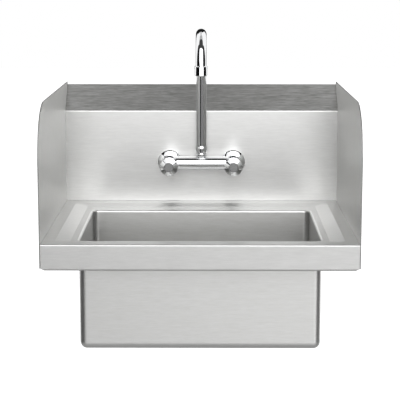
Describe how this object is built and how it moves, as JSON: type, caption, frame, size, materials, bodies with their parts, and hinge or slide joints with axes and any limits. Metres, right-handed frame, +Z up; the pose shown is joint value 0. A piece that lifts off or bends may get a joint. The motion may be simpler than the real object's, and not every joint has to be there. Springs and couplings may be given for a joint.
{
  "type": "wall-hung hand sink",
  "caption": "Stainless wall-hung hand sink with a dished deck, box bowl, backsplash, side splashes, basket drain and a splash-mounted gooseneck tap with round knobs.",
  "frame": {"origin": "on the wall, midway between the two wall screws", "axes": "+X right seen from the front, +Y into the wall, +Z up"},
  "size_m": [0.432, 0.394, 0.4629],
  "materials": {
    "brushed_stainless": "brushed along its width, satin",
    "plain_steel": "plain mill finish",
    "drain_steel": "satin polished",
    "chrome_plate": "mirror bright",
    "satin_plate": "flat satin plate",
    "bare_brass": "machined",
    "black_rubber": "matt",
    "fibre_ring": "matt",
    "white_ceramic": "lapped smooth",
    "white_plastic": "satin"
  },
  "bodies": {
    "sink": {"deck_and_backsplash": "brushed_stainless", "bowl": "brushed_stainless", "left_side_splash": "brushed_stainless", "right_side_splash": "brushed_stainless", "side_splash_washers": "plain_steel", "side_splash_nuts": "plain_steel", "wall_bracket": "plain_steel", "drain_body": "drain_steel", "tap_body": "chrome_plate", "spout_nut": "chrome_plate", "hot_escutcheon": "chrome_plate", "hot_bonnet": "chrome_plate", "cold_escutcheon": "chrome_plate", "cold_bonnet": "chrome_plate", "drain_locknut": "bare_brass", "hot_shank_locknut": "bare_brass", "hot_cartridge_body": "bare_brass", "cold_shank_locknut": "bare_brass", "cold_cartridge_body": "bare_brass", "drain_gasket": "black_rubber", "drain_rubber_washer": "black_rubber", "hot_shank_washer": "black_rubber", "hot_seat_seal": "black_rubber", "cold_shank_washer": "black_rubber", "cold_seat_seal": "black_rubber", "drain_friction_ring": "fibre_ring", "hot_fixed_disc": "white_ceramic", "cold_fixed_disc": "white_ceramic"},
    "spout": {"spout_tube": "chrome_plate", "spout_stub": "bare_brass", "spout_o_rings": "black_rubber", "spout_glide_ring": "white_plastic", "aerator_housing": "chrome_plate", "aerator_insert": "white_plastic", "aerator_washer": "black_rubber"},
    "hot_handle": {"hot_knob": "chrome_plate", "hot_knob_screw": "plain_steel", "hot_index_cap": "satin_plate", "hot_spindle": "bare_brass", "hot_spindle_o_ring": "black_rubber", "hot_moving_disc": "white_ceramic"},
    "cold_handle": {"cold_knob": "chrome_plate", "cold_knob_screw": "plain_steel", "cold_index_cap": "satin_plate", "cold_spindle": "bare_brass", "cold_spindle_o_ring": "black_rubber", "cold_moving_disc": "white_ceramic"},
    "basket": {"strainer_basket": "drain_steel", "basket_post": "drain_steel", "basket_seal": "black_rubber"}
  },
  "joints": [
    {"name": "spout_swivel", "type": "hinge", "parent": "sink", "child": "spout", "pos_m": [0, -0.0635, -0.08], "axis": [0, 0, 1], "range_deg": [-120, 120]},
    {"name": "hot_knob_turn", "type": "hinge", "parent": "sink", "child": "hot_handle", "pos_m": [-0.05, -0.0635, -0.08], "axis": [0, -1, 0], "range_deg": [0, 90]},
    {"name": "cold_knob_turn", "type": "hinge", "parent": "sink", "child": "cold_handle", "pos_m": [0.05, -0.0635, -0.08], "axis": [0, 1, 0], "range_deg": [0, 90]},
    {"name": "basket_lift", "type": "slide", "parent": "sink", "child": "basket", "axis": [0, 0, 1], "range_m": [0, 0.2]}
  ]
}
